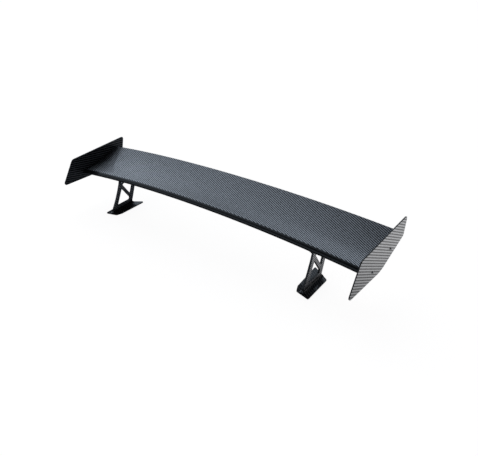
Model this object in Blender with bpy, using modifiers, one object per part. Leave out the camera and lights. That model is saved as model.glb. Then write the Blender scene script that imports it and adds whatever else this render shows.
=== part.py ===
"""Racing rear wing: an arched carbon blade between two endplates, carried by two truss uprights on feet.

Run it with: blender --background --python part.py, or from Blender's text editor.
Units are metres. +X points to the right end of the span, the air flows along +Y and +Z is up. The leading
edge is at -Y. The feet stand on z = 0, and the origin is the middle of the bounding box's underside.

Side views are drawn as (y, z) points in a drawing frame, and DRAWING_Y moves them to the row frame.
The blade, its insides, the wing brackets and the endplates turn together about one hinge line through the
two pivot bolts. The clamp bolts slide in curved slots in the brackets and hold the chosen angle of attack.
"""

import math

import bmesh
import bpy
import numpy as np
from mathutils import Matrix, Vector

# Frame
DRAWING_Y = 0.0989        # drawing frame to row frame
GAP = 0.0003              # left between pieces that touch
REACH = 0.0020            # how far a cutter stands out of the piece it cuts

# Blade: one cambered section, blown from end to end on an arched leading and trailing edge
HALF_SPAN = 0.7015        # to the end of the blade at each endplate
NOSE_END = (-0.1710, 0.1396)     # leading edge at the endplates
TAIL_END = (0.0295, 0.1830)      # trailing edge at the endplates
NOSE_ARCH = 0.0394        # how far the leading edge rises at mid-span
TAIL_ARCH = 0.0303        # how far the trailing edge rises at mid-span
ARCH_SQUARENESS = 0.085   # share of the arch that follows the fourth power
CAMBER = 0.100            # all in chords
CAMBER_AT = 0.45
THICKNESS = 0.130
THICKEST_AT = 0.22
NOSE_RADIUS = 0.055
TAIL_THICKNESS = 0.010
SKIN = 0.0015
TAIL_WEDGE_AT = 0.93      # behind this the upper skin is solid and the lower skin has ended
TAIL_STEP = 0.002         # length of the step where the wedge begins
SPAN_STATIONS = 23
CHORD_STATIONS = 20

# Inside the blade
FRONT_SPAR_AT = 0.25
REAR_SPAR_AT = 0.62
SPAR_WIDTH = 0.022        # in chords
RIB_THICKNESS = 0.0080
RIB_FROM, RIB_TO = 0.04, 0.88
BLOCK_HALF_WIDTH = 0.0180
BLOCK_GAP = 0.0015        # in chords, to each spar

# Endplates: corner (y, z) and corner radius
PLATE_THICKNESS = 0.0040
ENDPLATE = [
    ((0.0800, 0.2145), 0.009),
    ((-0.2075, 0.2150), 0.022),
    ((-0.2825, 0.1195), 0.009),
    ((-0.0900, 0.1045), 0.120),
    ((0.0575, 0.1520), 0.014),
]
ENDPLATE_SCREWS_AT = (0.13, 0.68)    # in chords, on the mean line
ENDPLATE_SCREW = {"shank": 0.0020, "head": 0.0040, "head_height": 0.0024}

# Uprights
UPRIGHT_X = 0.4950
UPRIGHT_THICKNESS = 0.0080
PIVOT = (-0.1300, 0.1230)
CLAMP = (-0.0445, 0.1340)
LUG = 0.0080
SEAT_Z = 0.0165           # underside of the upright, on its foot
FRONT_TOE = (-0.2050, SEAT_Z)
REAR_HEEL = (-0.0960, SEAT_Z)
FRONT_EDGE_SAG = 0.0033   # the front edge is slightly hollow
FRONT_SHOULDER = (-0.1385, 0.1220)
LARGE_OPENING = [((-0.1347, 0.0925), 0.0030), ((-0.1747, 0.0285), 0.0030), ((-0.1000, 0.0265), 0.0085)]
SMALL_OPENING = [((-0.0975, 0.0505), 0.0035), ((-0.0605, 0.1195), 0.0045), ((-0.1270, 0.1090), 0.0040)]

# Hinge and clamp hardware, M6
BOLT_RADIUS = 0.0030
BOLT_CLEARANCE = 0.0003
BOLT_HEAD, BOLT_HEAD_HEIGHT = 0.0053, 0.0033
NUT_RADIUS, NUT_HEIGHT = 0.0058, 0.0050
WASHER_RADIUS, WASHER_THICKNESS = 0.0062, 0.0016
BOLT_TAIL = 0.0015        # thread that shows past the nut

# Wing brackets
WEB_THICKNESS = 0.0040
FLANGE_THICKNESS = 0.0030
FLANGE_HALF_WIDTH = 0.0170
FLANGE_FROM, FLANGE_TO = 0.13, 0.66  # in chords
LOWEST_ANGLE, HIGHEST_ANGLE = -3.0, 9.0   # degrees from the angle as built
SLOT_WALL = 0.0042
BRACKET_SCREWS_AT = (0.36, 0.53)     # in chords
BRACKET_SCREW_INBOARD = 0.0110       # from the web's middle
BRACKET_SCREW = {"shank": 0.0025, "head": 0.0043, "head_height": 0.0026}
BRACKET_SCREW_LENGTH = 0.0145

# Feet: outline of the right foot as (x, y) and corner radius
FOOT_TOP_Z = 0.0052
FOOT_UNDERSIDE_Z = 0.0018
GASKET_THICKNESS = 0.0015
FOOT_OUTLINE = [
    ((0.5255, -0.2195), 0.004),
    ((0.5235, -0.1050), 0.004),
    ((0.4530, -0.0660), 0.003),
    ((0.4610, -0.1835), 0.008),
    ((0.4720, -0.2065), 0.005),
]
RIB_FILLET = 0.0110
RIB_FILLET_STEPS = 5
RIB_CORNER, RIB_CORNER_STEPS = 0.0020, 6
GASKET_INSET = 0.0008
FOOT_SCREWS_Y = (-0.1900, -0.1050)   # these hold the upright
FOOT_SCREW_RADIUS, FOOT_SCREW_HEAD, FOOT_SCREW_TOP_Z = 0.0020, 0.0040, 0.0240
COUNTERSINK_RIM = 0.0004
FOOT_INSERTS_Y = (-0.1620, -0.1330)  # these take the bolts from the car body
INSERT_RADIUS, INSERT_BORE, INSERT_LENGTH = 0.0045, 0.0030, 0.0070

ROUND_SIDES = 16
ARC_STEP = math.radians(15)   # an arc has at least this many chords, and more where
ARC_ERROR = 0.00008           # a chord would cut in further than this

SIDES = {"left": -1, "right": 1}

COLOURS = {
    "carbon": ((0.035, 0.037, 0.040), 0.22, 0.0),
    "dark_aluminium": ((0.060, 0.060, 0.065), 0.45, 1.0),
    "aluminium": ((0.60, 0.61, 0.62), 0.40, 1.0),
    "steel": ((0.42, 0.42, 0.43), 0.32, 1.0),
    "brass": ((0.55, 0.42, 0.20), 0.35, 1.0),
    "rubber": ((0.018, 0.018, 0.018), 0.80, 0.0),
}


# ---------------------------------------------------------------- scene and materials

def clear_scene():
    for obj in list(bpy.data.objects):
        bpy.data.objects.remove(obj, do_unlink=True)


def new_collection(name):
    collection = bpy.data.collections.new(name)
    bpy.context.scene.collection.children.link(collection)
    return collection


def paint(obj, finish):
    """Gives the object a Principled material of its own."""
    colour, roughness, metallic = COLOURS[finish]
    material = bpy.data.materials.new(obj.name + "_" + finish)
    material.use_nodes = True
    shader = material.node_tree.nodes["Principled BSDF"]
    shader.inputs["Base Color"].default_value = (*colour, 1.0)
    shader.inputs["Roughness"].default_value = roughness
    shader.inputs["Metallic"].default_value = metallic
    obj.data.materials.clear()
    obj.data.materials.append(material)


def new_object(name, mesh, collection):
    obj = bpy.data.objects.new(name, mesh)
    collection.objects.link(obj)
    return obj


def smooth(obj):
    obj.data.shade_smooth()
    obj.data.set_sharp_from_angle(angle=math.radians(35))


# ---------------------------------------------------------------- outlines

def arc_steps(radius, angle):
    fine = 2 * math.acos(1 - ARC_ERROR / radius)
    return max(1, math.ceil(abs(angle) / min(ARC_STEP, fine)))


def rounded(corners, steps=None):
    """A closed outline through ((a, b), radius) corners, each rounded with an arc of so many chords."""
    outline = []
    for i, (corner, radius) in enumerate(corners):
        here = Vector(corner)
        to_last = (Vector(corners[i - 1][0]) - here).normalized()
        to_next = (Vector(corners[(i + 1) % len(corners)][0]) - here).normalized()
        half = to_last.angle(to_next) / 2
        centre = here + (to_last + to_next).normalized() * radius / math.sin(half)
        start = here + to_last * radius / math.tan(half) - centre
        end = here + to_next * radius / math.tan(half) - centre
        turn = start.angle_signed(end)
        count = steps or arc_steps(radius, turn)
        for k in range(count + 1):
            arm = start.copy()
            arm.rotate(Matrix.Rotation(-turn * k / count, 2))
            outline.append(centre + arm)
    return outline


def circle(centre, radius, sides=ROUND_SIDES):
    turns = [2 * math.pi * k / sides for k in range(sides)]
    return [Vector((centre[0] + radius * math.cos(a), centre[1] + radius * math.sin(a))) for a in turns]


def arc(centre, radius, start, end):
    """Points on an arc from one angle to another, in radians."""
    steps = arc_steps(radius, end - start)
    angles = [start + (end - start) * k / steps for k in range(steps + 1)]
    return [Vector((centre[0] + radius * math.cos(a), centre[1] + radius * math.sin(a))) for a in angles]


def sagging(start, end, sag, steps=8):
    """Points of a shallow parabola between two points, start left out and end left out."""
    start, end = Vector(start), Vector(end)
    along = end - start
    side = Vector((along.y, -along.x)).normalized()
    shares = [k / steps for k in range(1, steps)]
    return [start + along * t + side * sag * 4 * t * (1 - t) for t in shares]


def arc_slot(centre, radius, start, end, half_width):
    """The outline of a slot that follows an arc about centre."""
    outer = arc(centre, radius + half_width, start, end)
    inner = arc(centre, radius - half_width, end, start)
    far = Vector(centre) + radius * Vector((math.cos(end), math.sin(end)))
    near = Vector(centre) + radius * Vector((math.cos(start), math.sin(start)))
    far_cap = arc(far, half_width, end, end + math.pi)[1:-1]
    near_cap = arc(near, half_width, start + math.pi, start + 2 * math.pi)[1:-1]
    return outer + far_cap + inner + near_cap


# ---------------------------------------------------------------- solids

def flat_solid(name, outlines, thickness, matrix, collection):
    """Extrudes 2D outlines (the first is the edge, the others are holes) evenly about their plane."""
    curve = bpy.data.curves.new(name, "CURVE")
    curve.dimensions = "2D"
    curve.fill_mode = "BOTH"
    curve.extrude = thickness / 2
    for outline in outlines:
        spline = curve.splines.new("POLY")
        spline.points.add(len(outline) - 1)
        spline.use_cyclic_u = True
        for point, place in zip(spline.points, outline):
            point.co = (place[0], place[1], 0, 1)
    drawn = new_object(name + "_outline", curve, collection)
    drawn.matrix_world = matrix
    bpy.context.view_layer.update()
    evaluated = drawn.evaluated_get(bpy.context.evaluated_depsgraph_get())
    mesh = bpy.data.meshes.new_from_object(evaluated)
    mesh.name = name
    bpy.data.objects.remove(drawn)
    shape = bmesh.new()
    shape.from_mesh(mesh)
    bmesh.ops.remove_doubles(shape, verts=shape.verts, dist=0.00001)
    bmesh.ops.recalc_face_normals(shape, faces=shape.faces)
    shape.to_mesh(mesh)
    shape.free()
    solid = new_object(name, mesh, collection)
    solid.matrix_world = matrix
    return solid


def facing_x(x):
    """Stands a drawing up in the (y, z) plane at x."""
    return Matrix.Translation((x, 0, 0)) @ Matrix(((0, 0, 1, 0), (1, 0, 0, 0), (0, 1, 0, 0), (0, 0, 0, 1)))


def facing_z(z):
    return Matrix.Translation((0, 0, z))


def along(direction, place):
    """Turns +Z to a direction and moves the origin to a place."""
    turn = Vector(direction).to_track_quat("Z", "Y").to_matrix().to_4x4()
    return Matrix.Translation(place) @ turn


def lofted_band(name, stations, top, bottom, collection):
    """A solid between two rows of points, top(x) and bottom(x), carried along the span."""
    shape = bmesh.new()
    rings = []
    for x in stations:
        upper = [shape.verts.new((x, y, z)) for y, z in top(x)]
        lower = [shape.verts.new((x, y, z)) for y, z in bottom(x)]
        rings.append(upper + lower[::-1])
    size = len(rings[0])
    half = size // 2
    for ring, following in zip(rings, rings[1:]):
        for k in range(size):
            n = (k + 1) % size
            shape.faces.new((ring[k], ring[n], following[n], following[k]))
    for ring in (rings[0], rings[-1]):
        for k in range(half - 1):
            shape.faces.new((ring[k], ring[k + 1], ring[size - 2 - k], ring[size - 1 - k]))
    bmesh.ops.recalc_face_normals(shape, faces=shape.faces)
    mesh = bpy.data.meshes.new(name)
    shape.to_mesh(mesh)
    shape.free()
    return new_object(name, mesh, collection)


def turned(name, profile, matrix, collection):
    """Turns a (radius, height) profile, drawn from the top axis point down to the bottom one."""
    mesh = bpy.data.meshes.new(name)
    points = [(radius, 0, height) for radius, height in profile]
    mesh.from_pydata(points, [(k, k + 1) for k in range(len(points) - 1)], [])
    solid = new_object(name, mesh, collection)
    spin = solid.modifiers.new("turn", "SCREW")
    spin.steps = ROUND_SIDES
    spin.render_steps = ROUND_SIDES
    spin.use_merge_vertices = True
    spin.merge_threshold = 0.00001
    solid.matrix_world = matrix
    return solid


def cylinder(name, radius, start, end, collection):
    """A cylinder between two points, for cutting holes."""
    start, end = Vector(start), Vector(end)
    shape = bmesh.new()
    bmesh.ops.create_cone(
        shape,
        cap_ends=True,
        segments=ROUND_SIDES,
        radius1=radius,
        radius2=radius,
        depth=(end - start).length,
    )
    mesh = bpy.data.meshes.new(name)
    shape.to_mesh(mesh)
    shape.free()
    solid = new_object(name, mesh, collection)
    solid.matrix_world = along(end - start, (start + end) / 2)
    return solid


def boolean(obj, other, operation):
    """Applies a Boolean and leaves the other shape as a hidden guide."""
    other.hide_render = True
    other.display_type = "WIRE"
    step = obj.modifiers.new(operation.lower(), "BOOLEAN")
    step.operation = operation
    step.solver = "EXACT"
    step.object = other


def screw_profile(shank, head, head_height, length):
    """A button head above z = 0 and a shank of the given length below it."""
    return [
        (0.0, head_height),
        (0.55 * head, head_height),
        (0.86 * head, 0.72 * head_height),
        (head, 0.30 * head_height),
        (head, 0.0),
        (shank, 0.0),
        (shank, -length + 0.3 * shank),
        (0.7 * shank, -length),
        (0.0, -length),
    ]


# ---------------------------------------------------------------- blade section

def thickness_terms():
    """Cubic terms that put the greatest thickness and the tail thickness in their places."""
    root = math.sqrt(2 * NOSE_RADIUS)
    at = THICKEST_AT
    rows = [[at, at**2, at**3], [1, 2 * at, 3 * at**2], [1, 1, 1]]
    wanted = [
        THICKNESS / 2 - root * math.sqrt(at),
        -root / (2 * math.sqrt(at)),
        TAIL_THICKNESS / 2 - root,
    ]
    return root, np.linalg.solve(rows, wanted)


THICKNESS_ROOT, THICKNESS_TERMS = thickness_terms()


def half_thickness(s):
    a, b, c = THICKNESS_TERMS
    return THICKNESS_ROOT * math.sqrt(s) + a * s + b * s**2 + c * s**3


def mean_line(s):
    """Height and slope of the mean line. It hangs below the chord, so the blade pushes down."""
    if s < CAMBER_AT:
        scale, bend = CAMBER / CAMBER_AT**2, 2 * CAMBER_AT * s - s**2
    else:
        scale = CAMBER / (1 - CAMBER_AT) ** 2
        bend = 1 - 2 * CAMBER_AT + 2 * CAMBER_AT * s - s**2
    return -scale * bend, -2 * scale * (CAMBER_AT - s)


def edges_at(x):
    """Leading and trailing edge at a place along the span."""
    share = (x / HALF_SPAN) ** 2
    rise = 1 - (1 - ARCH_SQUARENESS) * share - ARCH_SQUARENESS * share**2
    nose = Vector((NOSE_END[0], NOSE_END[1] + NOSE_ARCH * rise))
    tail = Vector((TAIL_END[0], TAIL_END[1] + TAIL_ARCH * rise))
    return nose, tail


def blade_point(x, s, side, inset=0.0):
    """A (y, z) point on the upper (side 1), lower (-1) or mean (0) line, moved inwards by inset."""
    nose, tail = edges_at(x)
    chord = tail - nose
    ahead = chord.normalized()
    up = Vector((-ahead.y, ahead.x))
    height, slope = mean_line(s)
    lean = math.atan(slope)
    normal = up * math.cos(lean) - ahead * math.sin(lean)
    reach = side * (half_thickness(s) * chord.length - inset)
    return nose + chord * s + up * height * chord.length + normal * reach


def chord_values(first, last, count=CHORD_STATIONS):
    """Chord places that crowd towards the nose. Every piece takes its places from the same list."""
    places = [(1 - math.cos(math.pi * k / (count - 1))) / 2 for k in range(count)]
    inner = [s for s in places if first + 0.004 < s < last - 0.004]
    return [first, *inner, last]


def stations(half_length, count=SPAN_STATIONS):
    return [half_length * (2 * k / (count - 1) - 1) for k in range(count)]


def surface_row(values, side, inset=0.0):
    return lambda x: [blade_point(x, s, side, inset) for s in values]


def surface_frame(x, s, inset):
    """Place and outward direction of the blade's underside in 3D."""
    step = 0.001
    here = Vector((x, *blade_point(x, s, -1, inset)))
    spanwise = Vector((x + step, *blade_point(x + step, s, -1, inset))) - here
    chordwise = Vector((x, *blade_point(x, s + step, -1, inset))) - here
    outward = chordwise.cross(spanwise).normalized()
    if outward.z > 0:
        outward.negate()
    return here, outward


# ---------------------------------------------------------------- the blade and what is in it

def upper_skin(collection):
    """Outer skin from the nose to the tail. Behind the wedge line it is solid down to the underside."""
    values = chord_values(0.0, TAIL_WEDGE_AT - TAIL_STEP) + [TAIL_WEDGE_AT, 1.0]

    def inner(x):
        row = [blade_point(x, s, 1, SKIN) for s in values if s < TAIL_WEDGE_AT]
        row += [blade_point(x, s, -1) for s in values if s >= TAIL_WEDGE_AT]
        nose, tail = edges_at(x)
        ahead = (tail - nose).normalized()
        row[0] = nose + ahead * SKIN
        return row

    def outer(x):
        return [blade_point(x, s, 1) for s in values]

    return lofted_band("wing_upper_skin", stations(HALF_SPAN - GAP), outer, inner, collection)


def lower_skin(collection, guides):
    """Underside from the nose joint to just short of the tail wedge, with holes for the bracket screws."""
    values = chord_values(0.0, TAIL_WEDGE_AT - 3 * TAIL_STEP)

    def outer(x):
        row = [blade_point(x, s, -1) for s in values]
        nose, tail = edges_at(x)
        ahead = (tail - nose).normalized()
        row[0] = nose - Vector((-ahead.y, ahead.x)) * GAP
        return row

    def inner(x):
        row = [blade_point(x, s, -1, SKIN) for s in values]
        nose, tail = edges_at(x)
        ahead = (tail - nose).normalized()
        row[0] = nose + ahead * SKIN - Vector((-ahead.y, ahead.x)) * GAP
        return row

    skin = lofted_band("wing_lower_skin", stations(HALF_SPAN - GAP), outer, inner, collection)
    for side, sign in SIDES.items():
        drill_bracket_screws(skin, side, sign, guides)
    return skin


def spar(name, at, collection):
    """A shear web that fills the height between the skins."""
    values = [at - SPAR_WIDTH / 2, at + SPAR_WIDTH / 2]
    top, bottom = surface_row(values, 1, SKIN + GAP), surface_row(values, -1, SKIN + GAP)
    return lofted_band(name, stations(HALF_SPAN - GAP - RIB_THICKNESS - GAP), top, bottom, collection)


def end_rib(side, sign, collection, guides):
    """Closes the end of the blade and takes the endplate screws."""
    values = chord_values(RIB_FROM, RIB_TO)
    top, bottom = surface_row(values, 1, SKIN + GAP), surface_row(values, -1, SKIN + GAP)
    outer_x = sign * (HALF_SPAN - GAP)
    inner_x = sign * (HALF_SPAN - GAP - RIB_THICKNESS)
    rib = lofted_band("end_rib_" + side, [inner_x, outer_x], top, bottom, collection)
    for number, place in enumerate(endplate_screw_places()):
        hole = cylinder(
            f"end_rib_{side}_hole_{number}",
            ENDPLATE_SCREW["shank"] + GAP,
            (inner_x - sign * REACH, *place),
            (outer_x + sign * REACH, *place),
            guides,
        )
        boolean(rib, hole, "DIFFERENCE")
    return rib


def mount_block(side, sign, collection, guides):
    """Solid block between the spars above each upright, tapped for the bracket screws."""
    edge = SPAR_WIDTH / 2 + BLOCK_GAP
    values = chord_values(FRONT_SPAR_AT + edge, REAR_SPAR_AT - edge)
    top, bottom = surface_row(values, 1, SKIN + GAP), surface_row(values, -1, SKIN + GAP)
    middle = sign * web_x()
    across = [middle - BLOCK_HALF_WIDTH, middle, middle + BLOCK_HALF_WIDTH]
    block = lofted_band("mount_block_" + side, across, top, bottom, collection)
    drill_bracket_screws(block, side, sign, guides)
    return block


# ---------------------------------------------------------------- endplates

def endplate_screw_places():
    return [blade_point(HALF_SPAN, s, 0) for s in ENDPLATE_SCREWS_AT]


def endplate(side, sign, collection):
    holes = [circle(place, ENDPLATE_SCREW["shank"] + GAP) for place in endplate_screw_places()]
    middle = sign * (HALF_SPAN + GAP + PLATE_THICKNESS / 2)
    outlines = [rounded(ENDPLATE), *holes]
    return flat_solid("endplate_" + side, outlines, PLATE_THICKNESS, facing_x(middle), collection)


def endplate_screw(name, sign, place, collection):
    outer = HALF_SPAN + GAP + PLATE_THICKNESS + GAP
    profile = screw_profile(**ENDPLATE_SCREW, length=PLATE_THICKNESS + GAP + RIB_THICKNESS)
    return turned(name, profile, along((sign, 0, 0), (sign * outer, *place)), collection)


# ---------------------------------------------------------------- wing brackets

def web_x():
    return UPRIGHT_X - UPRIGHT_THICKNESS / 2 - GAP - WEB_THICKNESS / 2


def bracket_screw_frames(sign):
    """Head seat and outward direction of each bracket screw, on the flange's underside."""
    x = sign * (web_x() - BRACKET_SCREW_INBOARD)
    return [surface_frame(x, s, -(GAP + FLANGE_THICKNESS)) for s in BRACKET_SCREWS_AT]


def drill_bracket_screws(obj, side, sign, guides):
    for number, (seat, outward) in enumerate(bracket_screw_frames(sign)):
        hole = cylinder(
            f"{obj.name}_{side}_hole_{number}",
            BRACKET_SCREW["shank"] + GAP,
            seat + outward * 2 * REACH,
            seat - outward * (BRACKET_SCREW_LENGTH + REACH / 2),
            guides,
        )
        boolean(obj, hole, "DIFFERENCE")


def slot_angles():
    """The clamp bolt's range about the pivot, as the bracket sees it."""
    rest = math.atan2(CLAMP[1] - PIVOT[1], CLAMP[0] - PIVOT[0])
    return rest - math.radians(HIGHEST_ANGLE), rest - math.radians(LOWEST_ANGLE)


def wing_bracket(side, sign, collection, guides):
    """A flange that follows the blade's underside and a web that hangs beside the upright."""
    values = chord_values(FLANGE_FROM, FLANGE_TO)
    middle = sign * web_x()
    bracket = lofted_band(
        "wing_bracket_" + side,
        [middle - FLANGE_HALF_WIDTH, middle, middle + FLANGE_HALF_WIDTH],
        surface_row(values, -1, -GAP),
        surface_row(values, -1, -GAP - FLANGE_THICKNESS),
        collection,
    )
    hidden_edge = GAP + FLANGE_THICKNESS / 2
    top = [blade_point(middle, s, -1, -hidden_edge) for s in values[1:-1]]
    first, last = slot_angles()
    radius = (Vector(CLAMP) - Vector(PIVOT)).length
    half_width = BOLT_RADIUS + BOLT_CLEARANCE
    low_end = Vector(PIVOT) + radius * Vector((math.cos(first), math.sin(first)))
    heel = arc(low_end, half_width + SLOT_WALL, math.radians(0), math.radians(-90))
    toe = arc(PIVOT, LUG, math.radians(-90), math.radians(-190))
    web = flat_solid(
        f"bracket_web_{side}",
        [
            top + heel + toe,
            circle(PIVOT, BOLT_RADIUS + BOLT_CLEARANCE),
            arc_slot(PIVOT, radius, first, last, half_width),
        ],
        WEB_THICKNESS,
        facing_x(middle),
        guides,
    )
    boolean(bracket, web, "UNION")
    drill_bracket_screws(bracket, side, sign, guides)
    return bracket


def bracket_screw(name, seat, outward, collection):
    profile = screw_profile(**BRACKET_SCREW, length=BRACKET_SCREW_LENGTH)
    return turned(name, profile, along(outward, seat + outward * GAP), collection)


# ---------------------------------------------------------------- uprights

def upright_outline():
    """Truss plate with a hollow front edge and a rounded lug at the pivot and at the clamp."""
    front = [Vector(FRONT_TOE), *sagging(FRONT_TOE, FRONT_SHOULDER, FRONT_EDGE_SAG)]
    pivot_lug = arc(PIVOT, LUG, math.radians(160), math.radians(80))
    clamp_lug = arc(CLAMP, LUG, math.radians(105), math.radians(-25))
    return front + pivot_lug + clamp_lug + [Vector(REAR_HEEL)]


def upright(side, sign, collection, guides):
    holes = [circle(place, BOLT_RADIUS + BOLT_CLEARANCE) for place in (PIVOT, CLAMP)]
    openings = [rounded(LARGE_OPENING), rounded(SMALL_OPENING)]
    plate = flat_solid(
        "upright_" + side,
        [upright_outline(), *openings, *holes],
        UPRIGHT_THICKNESS,
        facing_x(sign * UPRIGHT_X),
        collection,
    )
    for number, y in enumerate(FOOT_SCREWS_Y):
        hole = cylinder(
            f"upright_{side}_hole_{number}",
            FOOT_SCREW_RADIUS + GAP,
            (sign * UPRIGHT_X, y, SEAT_Z - REACH),
            (sign * UPRIGHT_X, y, FOOT_SCREW_TOP_Z + GAP),
            guides,
        )
        boolean(plate, hole, "DIFFERENCE")
    return plate


def hinge_hardware(kind, place, side, sign, collection):
    """A button-head bolt from the outside, with a washer and a hexagon nut on the bracket's side."""
    outer = UPRIGHT_X + UPRIGHT_THICKNESS / 2 + GAP
    washer = web_x() - WEB_THICKNESS / 2 - GAP - WASHER_THICKNESS / 2
    nut = washer - WASHER_THICKNESS / 2 - GAP - NUT_HEIGHT / 2
    length = outer - (nut - NUT_HEIGHT / 2 - BOLT_TAIL)
    profile = screw_profile(BOLT_RADIUS, BOLT_HEAD, BOLT_HEAD_HEIGHT, length)
    bolt = turned(f"{kind}_bolt_{side}", profile, along((sign, 0, 0), (sign * outer, *place)), collection)
    bore = circle(place, BOLT_RADIUS + GAP)
    disc = flat_solid(
        f"{kind}_washer_{side}",
        [circle(place, WASHER_RADIUS), bore],
        WASHER_THICKNESS,
        facing_x(sign * washer),
        collection,
    )
    hexagon = flat_solid(
        f"{kind}_nut_{side}",
        [circle(place, NUT_RADIUS, 6), bore],
        NUT_HEIGHT,
        facing_x(sign * nut),
        collection,
    )
    return bolt, disc, hexagon


# ---------------------------------------------------------------- feet

def foot_outline(sign, inset=0.0):
    """The foot's plan. The left foot is the right one mirrored."""
    centre = Vector((UPRIGHT_X, -0.14))
    corners = []
    for (x, y), radius in FOOT_OUTLINE:
        inward = (centre - Vector((x, y))).normalized() * inset * math.sqrt(2)
        corners.append(((sign * (x + inward.x), y + inward.y), radius))
    return rounded(corners if sign > 0 else corners[::-1])


def foot_rib(name, sign, guides):
    """The upright's seat: a narrow rib that spreads to the plate in a hollow fillet all round."""
    rings = [(RIB_FILLET, FOOT_TOP_Z - REACH)]
    for k in range(1, RIB_FILLET_STEPS + 1):
        angle = math.pi / 2 * k / RIB_FILLET_STEPS
        rings.append((RIB_FILLET * (1 - math.sin(angle)), SEAT_Z - GAP - RIB_FILLET * math.cos(angle)))
    shape = bmesh.new()
    loops = []
    for spread, z in rings:
        low_x, high_x = (sign * UPRIGHT_X + end * (UPRIGHT_THICKNESS / 2 + spread) for end in (-1, 1))
        front, rear = FRONT_TOE[0] - spread, REAR_HEEL[0] + spread
        corners = [(low_x, front), (high_x, front), (high_x, rear), (low_x, rear)]
        outline = rounded([(corner, RIB_CORNER + 0.9 * spread) for corner in corners], RIB_CORNER_STEPS)
        loops.append([shape.verts.new((x, y, z)) for x, y in outline])
    for lower, upper in zip(loops, loops[1:]):
        for k in range(len(lower)):
            n = (k + 1) % len(lower)
            shape.faces.new((lower[k], lower[n], upper[n], upper[k]))
    shape.faces.new(loops[0][::-1])
    shape.faces.new(loops[-1])
    bmesh.ops.recalc_face_normals(shape, faces=shape.faces)
    mesh = bpy.data.meshes.new(name)
    shape.to_mesh(mesh)
    shape.free()
    return new_object(name, mesh, guides)


def foot(side, sign, collection, guides):
    thickness = FOOT_TOP_Z - FOOT_UNDERSIDE_Z
    plate = flat_solid(
        "foot_" + side,
        [foot_outline(sign)],
        thickness,
        facing_z(FOOT_UNDERSIDE_Z + thickness / 2),
        collection,
    )
    boolean(plate, foot_rib(f"foot_rib_{side}", sign, guides), "UNION")
    limit = flat_solid(f"foot_limit_{side}", [foot_outline(sign)], 4 * SEAT_Z, facing_z(0), guides)
    boolean(plate, limit, "INTERSECT")
    x = sign * UPRIGHT_X
    for number, y in enumerate(FOOT_SCREWS_Y):
        hole = turned(
            f"foot_{side}_screw_hole_{number}",
            foot_screw_profile(GAP, SEAT_Z + REACH, -REACH),
            Matrix.Translation((x, y, 0)),
            guides,
        )
        boolean(plate, hole, "DIFFERENCE")
    for number, y in enumerate(FOOT_INSERTS_Y):
        hole = cylinder(
            f"foot_{side}_insert_hole_{number}",
            INSERT_RADIUS + GAP,
            (x, y, -REACH),
            (x, y, FOOT_UNDERSIDE_Z + INSERT_LENGTH + GAP),
            guides,
        )
        boolean(plate, hole, "DIFFERENCE")
    return plate


def foot_screw_profile(extra, top, bottom):
    """A countersunk screw with its head in the foot's underside. extra widens it into its own hole."""
    head, shank = FOOT_SCREW_HEAD + extra, FOOT_SCREW_RADIUS + extra
    rim = FOOT_UNDERSIDE_Z + COUNTERSINK_RIM
    return [
        (0.0, top),
        (shank, top),
        (shank, rim + head - shank),
        (head, rim),
        (head, bottom),
        (0.0, bottom),
    ]


def foot_gasket(side, sign, collection):
    x = sign * UPRIGHT_X
    holes = [circle((x, y), INSERT_RADIUS) for y in FOOT_INSERTS_Y]
    return flat_solid(
        "foot_gasket_" + side,
        [foot_outline(sign, GASKET_INSET), *holes],
        GASKET_THICKNESS,
        facing_z(GASKET_THICKNESS / 2),
        collection,
    )


def foot_fixings(side, sign, collection):
    """Screws that hold the upright, and threaded inserts for the bolts from the car body."""
    x = sign * UPRIGHT_X
    pieces = []
    for place, y in zip(("front", "rear"), FOOT_SCREWS_Y):
        profile = foot_screw_profile(0.0, FOOT_SCREW_TOP_Z, FOOT_UNDERSIDE_Z)
        screw = turned(f"foot_screw_{place}_{side}", profile, Matrix.Translation((x, y, 0)), collection)
        pieces.append((screw, "steel"))
    for place, y in zip(("front", "rear"), FOOT_INSERTS_Y):
        insert = flat_solid(
            f"foot_insert_{place}_{side}",
            [circle((x, y), INSERT_RADIUS), circle((x, y), INSERT_BORE)],
            INSERT_LENGTH,
            facing_z(FOOT_UNDERSIDE_Z + INSERT_LENGTH / 2),
            collection,
        )
        pieces.append((insert, "brass"))
    return pieces


# ---------------------------------------------------------------- assembly

def wing_pieces(parts, guides):
    """Everything that turns about the pivot bolts, with its finish."""
    pieces = [
        (upper_skin(parts), "carbon"),
        (lower_skin(parts, guides), "carbon"),
        (spar("front_spar", FRONT_SPAR_AT, parts), "carbon"),
        (spar("rear_spar", REAR_SPAR_AT, parts), "carbon"),
    ]
    for side, sign in SIDES.items():
        pieces.append((end_rib(side, sign, parts, guides), "aluminium"))
        pieces.append((mount_block(side, sign, parts, guides), "aluminium"))
        pieces.append((wing_bracket(side, sign, parts, guides), "dark_aluminium"))
        pieces.append((endplate(side, sign, parts), "carbon"))
        for name, place in zip(("front", "rear"), endplate_screw_places()):
            screw = endplate_screw(f"endplate_screw_{name}_{side}", sign, place, parts)
            pieces.append((screw, "steel"))
        for name, (seat, outward) in zip(("front", "rear"), bracket_screw_frames(sign)):
            pieces.append((bracket_screw(f"bracket_screw_{name}_{side}", seat, outward, parts), "steel"))
    return pieces


def standing_pieces(parts, guides):
    """Everything that stays still on the car body, with its finish."""
    pieces = []
    for side, sign in SIDES.items():
        pieces.append((upright(side, sign, parts, guides), "carbon"))
        pieces.append((foot(side, sign, parts, guides), "carbon"))
        pieces.append((foot_gasket(side, sign, parts), "rubber"))
        pieces += foot_fixings(side, sign, parts)
        for kind, place in (("pivot", PIVOT), ("clamp", CLAMP)):
            pieces += [(piece, "steel") for piece in hinge_hardware(kind, place, side, sign, parts)]
    return pieces


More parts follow.
